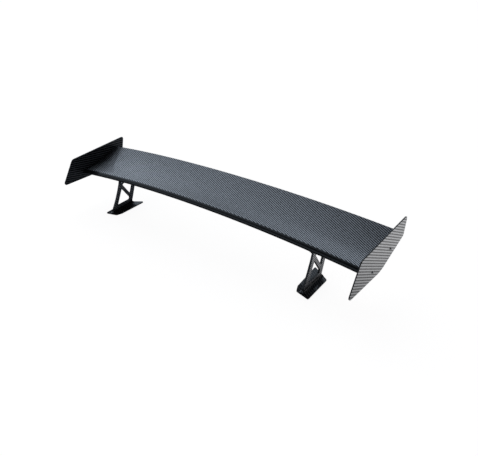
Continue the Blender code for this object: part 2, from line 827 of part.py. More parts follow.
def main():
    clear_scene()
    parts = new_collection("racing_rear_wing")
    guides = new_collection("cutters_and_guides")

    drawing = bpy.data.objects.new("drawing_frame", None)
    parts.objects.link(drawing)
    hinge = bpy.data.objects.new("hinge_line", None)
    parts.objects.link(hinge)
    hinge.parent = drawing
    hinge.location = (0, *PIVOT)
    bpy.context.view_layer.update()

    moving = wing_pieces(parts, guides)
    fixed = standing_pieces(parts, guides)
    for obj, finish in moving + fixed:
        paint(obj, finish)
        smooth(obj)
    for obj, _ in moving:
        obj.parent = hinge
        obj.matrix_parent_inverse = hinge.matrix_world.inverted()
    for obj, _ in fixed:
        obj.parent = drawing
    for obj in guides.objects:
        obj.parent = drawing
        obj.hide_render = True
        obj.display_type = "WIRE"
    drawing.location.y = DRAWING_Y
    bpy.context.view_layer.update()


main()
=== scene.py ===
"""Racing rear wing, visual model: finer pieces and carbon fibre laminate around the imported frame.

Metres, +X to the right end of the span, +Y downstream, +Z up, as in the frame. Sizes repeat the design's.
"""

import math

import bmesh
import bpy
from mathutils import Matrix, Vector


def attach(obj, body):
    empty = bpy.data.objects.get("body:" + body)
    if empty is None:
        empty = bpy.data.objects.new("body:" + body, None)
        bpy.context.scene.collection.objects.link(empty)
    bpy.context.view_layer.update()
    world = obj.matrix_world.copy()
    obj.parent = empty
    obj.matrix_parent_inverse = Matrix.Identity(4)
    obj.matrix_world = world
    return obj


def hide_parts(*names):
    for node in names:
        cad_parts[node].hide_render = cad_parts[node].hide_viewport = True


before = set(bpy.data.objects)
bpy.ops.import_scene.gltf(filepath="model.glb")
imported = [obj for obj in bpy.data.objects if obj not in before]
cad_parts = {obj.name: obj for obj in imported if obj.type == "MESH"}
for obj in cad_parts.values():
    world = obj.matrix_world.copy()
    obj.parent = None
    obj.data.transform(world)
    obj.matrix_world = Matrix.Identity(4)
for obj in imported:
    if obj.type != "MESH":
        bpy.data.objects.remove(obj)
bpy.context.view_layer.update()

SIDES = {"left": -1, "right": 1}
STAND, WING = "stand", "wing"

# ---------------------------------------------------------------- sizes, as in the design
DRAWING_Y = 0.0989      # added to the first number of a side view's points to get Y
GAP = 0.0003            # between pieces that touch
HALF_SPAN = 0.7015
NOSE_END, TAIL_END = (-0.1710, 0.1396), (0.0295, 0.1830)
NOSE_ARCH, TAIL_ARCH, ARCH_SQUARENESS = 0.0394, 0.0303, 0.085
CAMBER, CAMBER_AT = 0.100, 0.45
THICKNESS, THICKEST_AT = 0.130, 0.22
NOSE_RADIUS, TAIL_THICKNESS, SKIN = 0.055, 0.010, 0.0015
TAIL_WEDGE_AT, TAIL_STEP = 0.93, 0.002
PLATE_THICKNESS = 0.0040
ENDPLATE = [
    ((0.0800, 0.2145), 0.009),
    ((-0.2075, 0.2150), 0.022),
    ((-0.2825, 0.1195), 0.009),
    ((-0.0900, 0.1045), 0.120),
    ((0.0575, 0.1520), 0.014),
]
ENDPLATE_SCREWS_AT = (0.13, 0.68)
UPRIGHT_X, UPRIGHT_THICKNESS = 0.4950, 0.0080
PIVOT, CLAMP, LUG = (-0.1300, 0.1230), (-0.0445, 0.1340), 0.0080
SEAT_Z = 0.0165
FRONT_TOE, REAR_HEEL = (-0.2050, SEAT_Z), (-0.0960, SEAT_Z)
FRONT_SHOULDER, FRONT_EDGE_SAG = (-0.1385, 0.1220), 0.0033
LARGE_OPENING = [((-0.1347, 0.0925), 0.0030), ((-0.1747, 0.0285), 0.0030), ((-0.1000, 0.0265), 0.0085)]
SMALL_OPENING = [((-0.0975, 0.0505), 0.0035), ((-0.0605, 0.1195), 0.0045), ((-0.1270, 0.1090), 0.0040)]
WEB_THICKNESS, FLANGE_THICKNESS = 0.0040, 0.0030
BRACKET_SCREWS_AT, BRACKET_SCREW_INBOARD = (0.36, 0.53), 0.0110
BOLT_RADIUS, BOLT_HEAD, BOLT_HEAD_HEIGHT = 0.0030, 0.0053, 0.0033
BOLT_PLAIN, BOLT_PITCH, BOLT_TAIL = 0.0125, 0.0010, 0.0015
WASHER_RADIUS, WASHER_THICKNESS, WASHER_CHAMFER = 0.0062, 0.0016, 0.00025
NUT_RADIUS, NUT_HEIGHT, NUT_THREAD_DEPTH = 0.0058, 0.0050, 0.0002

# ---------------------------------------------------------------- finer than the design
PLATE_EDGE, TRUSS_EDGE = 0.0009, 0.0008     # rounding of the plates' cut edges
PLATE_HOLE_RADIUS = 0.0023
# radius of the shank and of the head, height of the head, length, plain length and pitch of the thread
PLATE_SCREW = (0.0020, 0.0040, 0.0024, 0.0123, 0.0050, 0.0007)
FLANGE_SCREW = (0.0025, 0.0043, 0.0026, 0.0145, 0.0040, 0.0008)

PLATE_TOW, TRUSS_TOW, BLADE_TOW = 0.0030, 0.0025, 0.0023    # width of one tow of the cloth
PLATE_CLOTH_TURN = math.radians(12.2)       # laid along the blade's chord, seen from the side
BLADE_CLOTH_TURN = math.radians(22.2)       # from the span
NOSE_BAND = 0.0162                          # painted shade: width of the dark band along the nose, measured back from the nose
SHADE_BAND_FADE = 0.0003                       # half the width over which the painted shade band ends


# ---------------------------------------------------------------- meshes

def mesh_object(name, verts, faces, sharp=35):
    mesh = bpy.data.meshes.new(name)
    mesh.from_pydata([tuple(v) for v in verts], [], faces)
    shape = bmesh.new()
    shape.from_mesh(mesh)
    bmesh.ops.recalc_face_normals(shape, faces=shape.faces)
    shape.to_mesh(mesh)
    shape.free()
    mesh.shade_smooth()
    mesh.set_sharp_from_angle(angle=math.radians(sharp))
    obj = bpy.data.objects.new(name, mesh)
    bpy.context.scene.collection.objects.link(obj)
    return obj


def loft(name, rings, sharp=35, caps=True):
    """Joins closed rings of equal length, and closes both ends with a fan to the ring's middle."""
    size = len(rings[0])
    verts = [v for ring in rings for v in ring]
    faces = []
    for r in range(len(rings) - 1):
        for k in range(size):
            n = (k + 1) % size
            faces.append((r * size + k, r * size + n, (r + 1) * size + n, (r + 1) * size + k))
    if caps:
        for r in (0, len(rings) - 1):
            middle = sum((Vector(v) for v in rings[r]), Vector()) / size
            verts.append(middle)
            for k in range(size):
                faces.append((r * size + k, r * size + (k + 1) % size, len(verts) - 1))
    return mesh_object(name, verts, faces, sharp)


def rounded(corners, steps=10):
    outline = []
    for i, (corner, radius) in enumerate(corners):
        here = Vector(corner)
        to_last = (Vector(corners[i - 1][0]) - here).normalized()
        to_next = (Vector(corners[(i + 1) % len(corners)][0]) - here).normalized()
        half = to_last.angle(to_next) / 2
        centre = here + (to_last + to_next).normalized() * radius / math.sin(half)
        start = here + to_last * radius / math.tan(half) - centre
        turn = start.angle_signed(here + to_next * radius / math.tan(half) - centre)
        for k in range(steps + 1):
            arm = start.copy()
            arm.rotate(Matrix.Rotation(-turn * k / steps, 2))
            outline.append(centre + arm)
    return outline


def arc(centre, radius, start, end, steps=12):
    angles = [math.radians(start + (end - start) * k / steps) for k in range(steps + 1)]
    return [Vector((centre[0] + radius * math.cos(a), centre[1] + radius * math.sin(a))) for a in angles]


def circle(centre, radius, sides=32):
    return arc(centre, radius, 0, 360, sides)[:-1]


def facing_x(x):
    turn = Matrix(((0, 0, 1, 0), (1, 0, 0, 0), (0, 1, 0, 0), (0, 0, 0, 1)))
    return Matrix.Translation((x, DRAWING_Y, 0)) @ turn


def plate(name, outlines, thickness, edge, matrix):
    """A flat plate with holes and rounded edges, drawn in 2D."""
    curve = bpy.data.curves.new(name, "CURVE")
    curve.dimensions = "2D"
    curve.fill_mode = "BOTH"
    curve.extrude = thickness / 2 - edge
    curve.bevel_depth = edge
    curve.bevel_resolution = 2
    curve.offset = -edge
    for outline in outlines:
        spline = curve.splines.new("POLY")
        spline.points.add(len(outline) - 1)
        spline.use_cyclic_u = True
        for point, place in zip(spline.points, outline):
            point.co = (place[0], place[1], 0, 1)
    drawn = bpy.data.objects.new(name + "_drawn", curve)
    bpy.context.scene.collection.objects.link(drawn)
    bpy.context.view_layer.update()
    mesh = bpy.data.meshes.new_from_object(drawn.evaluated_get(bpy.context.evaluated_depsgraph_get()))
    bpy.data.objects.remove(drawn)
    mesh.transform(matrix)
    shape = bmesh.new()
    shape.from_mesh(mesh)
    bmesh.ops.remove_doubles(shape, verts=shape.verts, dist=0.00001)
    bmesh.ops.recalc_face_normals(shape, faces=shape.faces)
    shape.to_mesh(mesh)
    shape.free()
    mesh.materials.clear()
    mesh.shade_smooth()
    obj = bpy.data.objects.new(name, mesh)
    bpy.context.scene.collection.objects.link(obj)
    weigh = obj.modifiers.new("flat_faces", "WEIGHTED_NORMAL")
    weigh.keep_sharp = True
    return obj


# ---------------------------------------------------------------- materials

class Nodes:
    """A short way to write node trees."""

    def __init__(self, name):
        self.material = bpy.data.materials.new(name)
        self.material.use_nodes = True
        self.tree = self.material.node_tree
        self.shader = self.tree.nodes["Principled BSDF"]

    def put(self, socket, value):
        if isinstance(value, bpy.types.NodeSocket):
            self.tree.links.new(value, socket)
        elif value is not None:
            socket.default_value = value

    def math(self, operation, a, b=None, c=None):
        node = self.tree.nodes.new("ShaderNodeMath")
        node.operation = operation
        for socket, value in zip(node.inputs, (a, b, c)):
            self.put(socket, value)
        return node.outputs[0]

    def mix(self, factor, a, b, kind="RGBA"):
        node = self.tree.nodes.new("ShaderNodeMix")
        node.data_type = kind
        node.clamp_factor = True
        sockets = {"FLOAT": (0, 2, 3, 0), "VECTOR": (0, 4, 5, 1), "RGBA": (0, 6, 7, 2)}[kind]
        for index, value in zip(sockets[:3], (factor, a, b)):
            self.put(node.inputs[index], value)
        return node.outputs[sockets[3]]

    def noise(self, vector, scale, detail=2.0, roughness=0.5):
        node = self.tree.nodes.new("ShaderNodeTexNoise")
        self.put(node.inputs["Vector"], vector)
        node.inputs["Scale"].default_value = scale
        node.inputs["Detail"].default_value = detail
        node.inputs["Roughness"].default_value = roughness
        return node.outputs[0]

    def range(self, value, low, high, to_low, to_high):
        node = self.tree.nodes.new("ShaderNodeMapRange")
        for socket, given in zip(node.inputs, (value, low, high, to_low, to_high)):
            self.put(socket, given)
        return node.outputs[0]

    def attribute(self, name):
        node = self.tree.nodes.new("ShaderNodeAttribute")
        node.attribute_name = name
        return node.outputs["Vector"]

    def position(self, stretch=(1, 1, 1)):
        coords = self.tree.nodes.new("ShaderNodeTexCoord")
        mapping = self.tree.nodes.new("ShaderNodeMapping")
        mapping.inputs["Scale"].default_value = stretch
        self.tree.links.new(coords.outputs["Object"], mapping.inputs["Vector"])
        return mapping.outputs[0]

    def separate(self, vector):
        node = self.tree.nodes.new("ShaderNodeSeparateXYZ")
        self.put(node.inputs[0], vector)
        return node.outputs

    def combine(self, x, y, z=0.0):
        node = self.tree.nodes.new("ShaderNodeCombineXYZ")
        for socket, value in zip(node.inputs, (x, y, z)):
            self.put(socket, value)
        return node.outputs[0]

    def dot(self, a, b):
        node = self.tree.nodes.new("ShaderNodeVectorMath")
        node.operation = "DOT_PRODUCT"
        self.put(node.inputs[0], a)
        self.put(node.inputs[1], b)
        return node.outputs["Value"]

    def cross(self, a, b):
        node = self.tree.nodes.new("ShaderNodeVectorMath")
        node.operation = "CROSS_PRODUCT"
        self.put(node.inputs[0], a)
        self.put(node.inputs[1], b)
        return node.outputs[0]

    def to_world(self, vector):
        node = self.tree.nodes.new("ShaderNodeVectorTransform")
        node.vector_type = "VECTOR"
        node.convert_from, node.convert_to = "OBJECT", "WORLD"
        self.put(node.inputs[0], vector)
        return node.outputs[0]

    def flat_normal(self):
        """The object's own normal, the same in every pose."""
        node = self.tree.nodes.new("ShaderNodeTexCoord")
        return node.outputs["Normal"]

    def normal(self):
        return self.tree.nodes.new("ShaderNodeNewGeometry").outputs["Normal"]

    def bump(self, height, distance, strength=1.0):
        node = self.tree.nodes.new("ShaderNodeBump")
        node.inputs["Strength"].default_value = strength
        node.inputs["Distance"].default_value = distance
        self.put(node.inputs["Height"], height)
        return node.outputs[0]

    def set(self, **sockets):
        for name, value in sockets.items():
            self.put(self.shader.inputs[name.replace("_", " ").title().replace("Ior", "IOR")], value)


def carbon(name, cloth, first, tow, warp=0.45, weft=0.012, band=None, face=None, coat=0.6, nose_shade_and_seal_black=0.010):
    """2x2 twill: the warp is on top in two of every four squares, moved one square on each row.

    cloth gives the place on the cloth in metres, across the warp and along it, and on the blade also how far
    back from the nose it is. first is the direction that the warp's stretched gloss follows; the weft's is at
    right angles to it. warp and weft are painted sheen: how light the warp tows are coloured and how dark the
    weft tows, as if one family were lit and the other in shade. coat is the weight of the clear coat.

    Within the band behind the nose the weave is coloured a flat dark as painted shade on the nose, and away
    from a plate's face, on its cut edges, the laminate carries a black seal. The last argument gives how dark
    that black is, on the nose and on the edges.
    """
    n = Nodes(name)
    a, b, back = cloth(n)
    # painted shade: the band along the nose is coloured dark in place of the nose's own shade
    nose_shade_and_seal_mask = n.range(back, band - SHADE_BAND_FADE, band + SHADE_BAND_FADE, 1.0, 0.0) if band else None
    if face:
        facing = n.math("ABSOLUTE", n.dot(n.flat_normal(), face))
        nose_shade_and_seal_mask = n.range(facing, 0.55, 0.85, 1.0, 0.0)
    a, b = n.math("DIVIDE", a, tow), n.math("DIVIDE", b, tow)
    i, j = n.math("FLOOR", a), n.math("FLOOR", b)
    warp_up = n.math("LESS_THAN", n.math("FLOORED_MODULO", n.math("ADD", i, j), 4.0), 2.0)
    # across goes from 0 to 1 over a tow's width, and along from 0 to 2 over the length it lies on top
    across = n.mix(warp_up, n.math("FRACT", b), n.math("FRACT", a), "FLOAT")
    warp_along = n.math("FLOORED_MODULO", n.math("ADD", b, i), 4.0)
    weft_along = n.math("SUBTRACT", n.math("FLOORED_MODULO", n.math("ADD", a, j), 4.0), 2.0)
    along = n.mix(warp_up, weft_along, warp_along, "FLOAT")
    crown = n.math("SINE", n.math("MULTIPLY", across, math.pi))
    arch = n.math("SINE", n.math("MULTIPLY", along, math.pi / 2))
    height = n.math("MULTIPLY_ADD", n.math("POWER", crown, 0.4), 0.6, n.math("MULTIPLY", arch, 0.4))
    fibre_warp = n.noise(n.combine(n.math("MULTIPLY", a, 9.0), n.math("MULTIPLY", b, 0.35)), 1.0)
    fibre_weft = n.noise(n.combine(n.math("MULTIPLY", b, 9.0), n.math("MULTIPLY", a, 0.35), 7.0), 1.0)
    fibre = n.mix(warp_up, fibre_weft, fibre_warp, "FLOAT")
    # painted sheen: the warp tows are coloured light and the weft tows dark, as if one family were lit and
    # the other in shade; the fibre noise is random tone and the darker tow edges are the weave's joints
    painted_sheen_shade_and_tone = n.mix(warp_up, weft, warp, "FLOAT")
    painted_sheen_shade_and_tone = n.math("MULTIPLY", painted_sheen_shade_and_tone, n.range(fibre, 0.3, 0.7, 0.75, 1.25))
    painted_sheen_shade_and_tone = n.math("MULTIPLY", painted_sheen_shade_and_tone, n.range(crown, 0.0, 0.35, 0.45, 1.0))
    # the nose band's painted shade and the plates' black cut edges take the dark colour and lose the weave's
    # relief
    if nose_shade_and_seal_mask:
        painted_sheen_shade_and_tone = n.mix(nose_shade_and_seal_mask, painted_sheen_shade_and_tone, nose_shade_and_seal_black, "FLOAT")
        height = n.mix(nose_shade_and_seal_mask, height, 1.0, "FLOAT")
    bluish = n.math("MULTIPLY", painted_sheen_shade_and_tone, 1.03)
    n.set(
        base_color=n.combine(painted_sheen_shade_and_tone, painted_sheen_shade_and_tone, bluish),
        roughness=n.range(fibre, 0.3, 0.7, 0.32, 0.44),
        metallic=1.0,
        anisotropic=0.8,
        coat_weight=coat,
        coat_roughness=0.03,
        coat_ior=1.5,
    )
    first = n.to_world(first)
    second = n.cross(n.normal(), first)
    n.put(n.shader.inputs["Tangent"], n.mix(warp_up, second, first, "VECTOR"))
    n.put(n.shader.inputs["Normal"], n.bump(height, 0.00012, 0.8))
    peel = n.noise(n.position(), 90.0, 1.0)
    n.put(n.shader.inputs["Coat Normal"], n.bump(peel, 0.00002, 0.5))
    return n.material


def on_blade(n):
    """The blade's cloth is turned from the span. The last value is the way back from the nose."""
    span, back, _ = n.separate(n.attribute("cloth"))
    cos, sin = math.cos(BLADE_CLOTH_TURN), math.sin(BLADE_CLOTH_TURN)
    a = n.math("ADD", n.math("MULTIPLY", span, cos), n.math("MULTIPLY", back, sin))
    b = n.math("SUBTRACT", n.math("MULTIPLY", back, cos), n.math("MULTIPLY", span, sin))
    return a, b, back


def in_plane(first, second):
    """A flat cloth whose axes are two directions at right angles."""
    return lambda n: (n.dot(n.position(), first), n.dot(n.position(), second), None)


def metal(name, colour, roughness, grain=(1, 1, 1), spread=0.08, depth=0.00003):
    """Metal with a faint grain that shows in its colour, roughness and relief."""
    n = Nodes(name)
    grit = n.noise(n.position(grain), 900.0, 4.0, 0.6)
    patch = n.noise(n.position(), 60.0, 3.0)
    low = tuple(c * 0.80 for c in colour)
    high = tuple(min(1.0, c * 1.15) for c in colour)
    n.set(
        base_color=n.mix(patch, (*low, 1), (*high, 1)),
        roughness=n.range(grit, 0.3, 0.7, roughness - spread, roughness + spread),
        metallic=1.0,
    )
    n.put(n.shader.inputs["Normal"], n.bump(grit, depth, 0.5))
    return n.material


def rubber(name):
    n = Nodes(name)
    grit = n.noise(n.position(), 1500.0, 3.0, 0.7)
    dust = n.noise(n.position(), 70.0, 3.0)
    n.set(
        base_color=n.mix(dust, (0.014, 0.014, 0.014, 1), (0.024, 0.024, 0.023, 1)),
        roughness=n.range(grit, 0.3, 0.7, 0.68, 0.90),
    )
    n.put(n.shader.inputs["Normal"], n.bump(grit, 0.00008, 0.6))
    return n.material


def inner_laminate(name):
    n = Nodes(name)
    weave = n.noise(n.position((4, 1, 1)), 400.0, 3.0)
    n.set(
        base_color=n.mix(weave, (0.020, 0.020, 0.022, 1), (0.045, 0.045, 0.047, 1)),
        roughness=n.range(weave, 0.3, 0.7, 0.45, 0.62),
    )
    n.put(n.shader.inputs["Normal"], n.bump(weave, 0.0001, 0.6))
    return n.material


SPANWISE = (1.0, 0.0, 0.0)
CHORDWISE = (0.0, math.cos(PLATE_CLOTH_TURN), math.sin(PLATE_CLOTH_TURN))
UPWARD = (0.0, -math.sin(PLATE_CLOTH_TURN), math.cos(PLATE_CLOTH_TURN))
SLANTING, STEEP = (0.0, math.sqrt(0.5), math.sqrt(0.5)), (0.0, -math.sqrt(0.5), math.sqrt(0.5))
ALONG_FOOT, ACROSS_FOOT = (-0.24, 0.97, 0.0), (0.97, 0.24, 0.0)
# warp and weft set each laminate's painted sheen: the light colour of the warp tows and the dark colour of
# the weft tows
BLADE = carbon(
    "blade_carbon_twill", on_blade, SPANWISE, BLADE_TOW,
    # band and the dark colour at the end of this line are the painted shade along the nose
    warp=0.605, weft=0.003, band=NOSE_BAND, coat=0.30, nose_shade_and_seal_black=0.037,
)
PLATE = carbon("plate_carbon_twill", in_plane(CHORDWISE, UPWARD), CHORDWISE, PLATE_TOW, face=SPANWISE)
TRUSS = carbon("truss_carbon_twill", in_plane(STEEP, SLANTING), STEEP, TRUSS_TOW, warp=0.72, face=SPANWISE)
FOOT = carbon(
    "foot_carbon_twill", in_plane(ACROSS_FOOT, ALONG_FOOT), ACROSS_FOOT, PLATE_TOW, warp=0.07, weft=0.008
)
BLACK = metal("black_anodised", (0.028, 0.028, 0.030), 0.42)
STEEL = metal("plain_steel", (0.42, 0.42, 0.43), 0.30, (1, 6, 6))
DARK_STEEL = metal("black_oxide_steel", (0.035, 0.034, 0.033), 0.40)
ALUMINIUM = metal("milled_aluminium", (0.60, 0.61, 0.62), 0.36, (1, 12, 1))
BRASS = metal("turned_brass", (0.55, 0.42, 0.20), 0.34, (6, 6, 1))
RUBBER = rubber("gasket_rubber")
INNER = inner_laminate("inner_laminate")


def dress(obj, material):
    obj.data.materials.clear()
    obj.data.materials.append(material)


def carry_over(name, material):
    """Gives a CAD node that stays as it is a better material."""
    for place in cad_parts[name].material_slots:
        place.material = material


def place_piece(obj, material, body, slot, *nodes):
    dress(obj, material)
    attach(obj, body)
    if nodes:
        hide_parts(*nodes)
    return obj


# ---------------------------------------------------------------- blade

def thickness_terms():
    root, at = math.sqrt(2 * NOSE_RADIUS), THICKEST_AT
    rows = Matrix(((at, at**2, at**3), (1, 2 * at, 3 * at**2), (1, 1, 1)))
    wanted = Vector(
        (THICKNESS / 2 - root * math.sqrt(at), -root / (2 * math.sqrt(at)), TAIL_THICKNESS / 2 - root)
    )
    return root, rows.inverted() @ wanted


ROOT_TERM, CUBIC_TERMS = thickness_terms()


def blade_point(x, s, side, inset=0.0):
    """A (y, z) point of the section at x: side 1 is the upper line, -1 the lower and 0 the mean line."""
    share = (x / HALF_SPAN) ** 2
    rise = 1 - (1 - ARCH_SQUARENESS) * share - ARCH_SQUARENESS * share**2
    nose = Vector((NOSE_END[0], NOSE_END[1] + NOSE_ARCH * rise))
    chord = Vector((TAIL_END[0], TAIL_END[1] + TAIL_ARCH * rise)) - nose
    ahead = chord.normalized()
    up = Vector((-ahead.y, ahead.x))
    if s < CAMBER_AT:
        scale, bend = CAMBER / CAMBER_AT**2, 2 * CAMBER_AT * s - s**2
    else:
        scale = CAMBER / (1 - CAMBER_AT) ** 2
        bend = 1 - 2 * CAMBER_AT + 2 * CAMBER_AT * s - s**2
    lean = math.atan(-2 * scale * (CAMBER_AT - s))
    normal = up * math.cos(lean) - ahead * math.sin(lean)
    half = ROOT_TERM * math.sqrt(s) + CUBIC_TERMS[0] * s + CUBIC_TERMS[1] * s**2 + CUBIC_TERMS[2] * s**3
    reach = side * (half * chord.length - inset)
    return nose + chord * s - up * scale * bend * chord.length + normal * reach


def section_axes(x):
    nose, tail = blade_point(x, 0, 0), blade_point(x, 1, 0)
    ahead = (tail - nose).normalized()
    return nose, ahead, Vector((-ahead.y, ahead.x))


def chord_places(last, count):
    return [last * (1 - math.cos(math.pi * k / count)) / 2 for k in range(count + 1)]


SPAN_STEPS = 72
SPAN = [(HALF_SPAN - GAP) * (2 * k / SPAN_STEPS - 1) for k in range(SPAN_STEPS + 1)]
INNER_PLACES = (0.8, 0.6, 0.4, 0.25, 0.15, 0.08, 0.04)      # where the skins' inner lines have points
TAIL_ROUND = [(0.9970, 1.0), (0.9988, 0.80), (1.0, 0.45), (1.0, -0.45), (0.9988, -0.80), (0.9970, -1.0)]


def upper_section(x):
    """Outer line from the nose to the rounded tail and back under it, then the inner line to the nose."""
    wedge = TAIL_WEDGE_AT - TAIL_STEP
    places = [s for s in chord_places(1.0, 56) if s < 0.995]
    outer = [blade_point(x, s, 1) for s in places]
    outer += [blade_point(x, s, side) for s, side in TAIL_ROUND]
    outer += [blade_point(x, s, -1) for s in (0.985, 0.96, TAIL_WEDGE_AT)]
    inner = [blade_point(x, s, 1, SKIN) for s in (wedge, *INNER_PLACES)]
    nose, ahead, _ = section_axes(x)
    return outer, inner + [nose + ahead * SKIN]


def lower_section(x):
    last = TAIL_WEDGE_AT - 3 * TAIL_STEP
    nose, ahead, up = section_axes(x)
    outer = [nose - up * GAP] + [blade_point(x, s, -1) for s in chord_places(last, 52)[1:]]
    inner = [blade_point(x, s, -1, SKIN) for s in (last, *INNER_PLACES)]
    return outer, inner + [nose + ahead * SKIN - up * GAP]


def blade_skin(name, section):
    """A skin carried along the span, with its cloth laid from the nose back."""
    rings, lengths = [], []
    for x in SPAN:
        outer, inner = section(x)
        rings.append([(x, p.x + DRAWING_Y, p.y) for p in outer + inner])
    outer, inner = section(0.0)
    last, total = outer[0], 0.0
    for point in outer + inner:
        total += (point - last).length
        lengths.append(total)
        last = point
    obj = loft(name, rings, sharp=40)
    size = len(rings[0])
    place = obj.data.attributes.new("cloth", "FLOAT_VECTOR", "POINT")
    for k, vertex in enumerate(obj.data.vertices):
        place.data[k].vector = (vertex.co.x, lengths[k % size], 0)
    return obj


place_piece(blade_skin("blade_upper_surface", upper_section), BLADE, WING, "blade_carbon", "wing_upper_skin")
place_piece(blade_skin("blade_lower_surface", lower_section), BLADE, WING, "blade_carbon", "wing_lower_skin")


# ---------------------------------------------------------------- turned fixings

ROUND = 48


def hexagon(radius, angle):
    """Distance to a hexagon's side, radius being its corner."""
    sixth = math.radians(60)
    return radius * math.cos(sixth / 2) / math.cos(angle % sixth - sixth / 2)


def turned(name, profile, matrix, sharp=30):
    """Turns (radius, height) rings about Z. A radius may be a function of the angle."""
    rings = []
    for radius, height in profile:
        ring = []
        for k in range(ROUND):
            angle = 2 * math.pi * k / ROUND
            reach = radius(angle) if callable(radius) else radius
            ring.append(matrix @ Vector((reach * math.cos(angle), reach * math.sin(angle), height)))
        rings.append(ring)
    return loft(name, rings, sharp)


def threaded(radius, top, bottom, pitch, depth):
    """Rings of a helical thread between two heights."""
    steps = max(2, round((top - bottom) / pitch * 8))
    rings = []
    for k in range(steps + 1):
        z = top + (bottom - top) * k / steps

        def reach(angle, z=z):
            phase = (z / pitch + angle / (2 * math.pi)) % 1
            return radius - depth * (1 - abs(2 * phase - 1))

        rings.append((reach, z))
    return rings


def screw_profile(shank, head, head_height, length, thread_from, pitch):
    """A button head with a hexagon socket, a plain shank and a threaded end."""
    socket = 0.58 * head
    floor = 0.35 * head_height
    profile = [
        (lambda a: 0.45 * hexagon(socket, a), floor - 0.15 * head_height),
        (lambda a: hexagon(socket, a), floor),
        (lambda a: hexagon(socket, a), head_height * 0.965),
        (lambda a: hexagon(socket * 1.06, a), head_height),
        (0.72 * head, 0.985 * head_height),
        (0.83 * head, 0.88 * head_height),
        (0.92 * head, 0.68 * head_height),
        (0.98 * head, 0.40 * head_height),
        (head, 0.15 * head_height),
        (0.985 * head, 0.02 * head_height),
        (0.97 * head, 0.0),
        (shank, 0.0),
        (shank, -thread_from),
    ]
    profile += threaded(shank, -thread_from - 0.0001, -length + 0.5 * shank, pitch, 0.12 * shank)
    return profile + [(0.6 * shank, -length)]


def along(direction, place):
    turn = Vector(direction).to_track_quat("Z", "Y").to_matrix().to_4x4()
    return Matrix.Translation(place) @ turn


def at_side(x, place):
    return Vector((x, place[0] + DRAWING_Y, place[1]))


def underside(x, s, inset):
    """Place and outward direction of the blade's underside, moved out by -inset."""
    step = 0.001
    here = at_side(x, blade_point(x, s, -1, inset))
    spanwise = at_side(x + step, blade_point(x + step, s, -1, inset)) - here
    chordwise = at_side(x, blade_point(x, s + step, -1, inset)) - here
    outward = chordwise.cross(spanwise).normalized()
    return here, (-outward if outward.z > 0 else outward)


WEB_X = UPRIGHT_X - UPRIGHT_THICKNESS / 2 - GAP - WEB_THICKNESS / 2

for side, sign in SIDES.items():
    # Endplate screws
    seat_x = HALF_SPAN + GAP + PLATE_THICKNESS + GAP
    for where, s in zip(("front", "rear"), ENDPLATE_SCREWS_AT):
        place = at_side(sign * seat_x, blade_point(HALF_SPAN, s, 0))
        profile = screw_profile(*PLATE_SCREW)
        screw = turned(f"plate_screw_{where}_{side}", profile, along((sign, 0, 0), place))
        place_piece(screw, STEEL, WING, "steel_fixings", f"endplate_screw_{where}_{side}")

    # Screws that hold the bracket to the blade
    for where, s in zip(("front", "rear"), BRACKET_SCREWS_AT):
        seat, outward = underside(sign * (WEB_X - BRACKET_SCREW_INBOARD), s, -(GAP + FLANGE_THICKNESS))
        profile = screw_profile(*FLANGE_SCREW)
        screw = turned(f"flange_screw_{where}_{side}", profile, along(outward, seat + outward * GAP))
        place_piece(screw, DARK_STEEL, WING, "steel_fixings", f"bracket_screw_{where}_{side}")

    # Pivot and clamp bolts, washers and nuts
    outer = UPRIGHT_X + UPRIGHT_THICKNESS / 2 + GAP
    washer_x = WEB_X - WEB_THICKNESS / 2 - GAP - WASHER_THICKNESS / 2
    nut_x = washer_x - WASHER_THICKNESS / 2 - GAP - NUT_HEIGHT / 2
    for kind, place in (("pivot", PIVOT), ("clamp", CLAMP)):
        length = outer - (nut_x - NUT_HEIGHT / 2 - BOLT_TAIL)
        profile = screw_profile(BOLT_RADIUS, BOLT_HEAD, BOLT_HEAD_HEIGHT, length, BOLT_PLAIN, BOLT_PITCH)
        matrix = along((sign, 0, 0), at_side(sign * outer, place))
        bolt = turned(f"{kind}_bolt_detail_{side}", profile, matrix)
        place_piece(bolt, STEEL, STAND, "steel_fixings", f"{kind}_bolt_{side}")

        half, bore, chamfer = WASHER_THICKNESS / 2, BOLT_RADIUS + GAP, WASHER_CHAMFER
        profile = [
            (bore + chamfer, half), (WASHER_RADIUS - chamfer, half), (WASHER_RADIUS, half - chamfer),
            (WASHER_RADIUS, chamfer - half), (WASHER_RADIUS - chamfer, -half), (bore + chamfer, -half),
            (bore, chamfer - half), (bore, half - chamfer), (bore + chamfer, half),
        ]
        matrix = along((sign, 0, 0), at_side(sign * washer_x, place))
        disc = turned(f"{kind}_washer_detail_{side}", profile, matrix)
        place_piece(disc, STEEL, STAND, "steel_fixings", f"{kind}_washer_{side}")

        half, corner = NUT_HEIGHT / 2, NUT_RADIUS
        flat = corner * math.cos(math.radians(30))

        def chamfered(rise, corner=corner, flat=flat):
            return lambda a: min(hexagon(corner, a), flat * 0.97 + rise * math.tan(math.radians(60)))

        sides_up = [(chamfered(rise), half - rise) for rise in (0.0, 0.0001, 0.0002, 0.0003, 0.0004, 0.0006)]
        sides_down = [(radius, -height) for radius, height in sides_up[::-1]]
        thread, mouth, inside = bore + NUT_THREAD_DEPTH, bore + 0.0005, half - 0.0003
        bore_rings = threaded(thread, inside, -inside, BOLT_PITCH, NUT_THREAD_DEPTH)[::-1]
        profile = sides_up + sides_down + [(mouth, -half)] + bore_rings + [(mouth, half), sides_up[0]]
        nut = turned(f"{kind}_nut_detail_{side}", profile, along((sign, 0, 0), at_side(sign * nut_x, place)))
        place_piece(nut, STEEL, STAND, "steel_fixings", f"{kind}_nut_{side}")


# ---------------------------------------------------------------- endplates

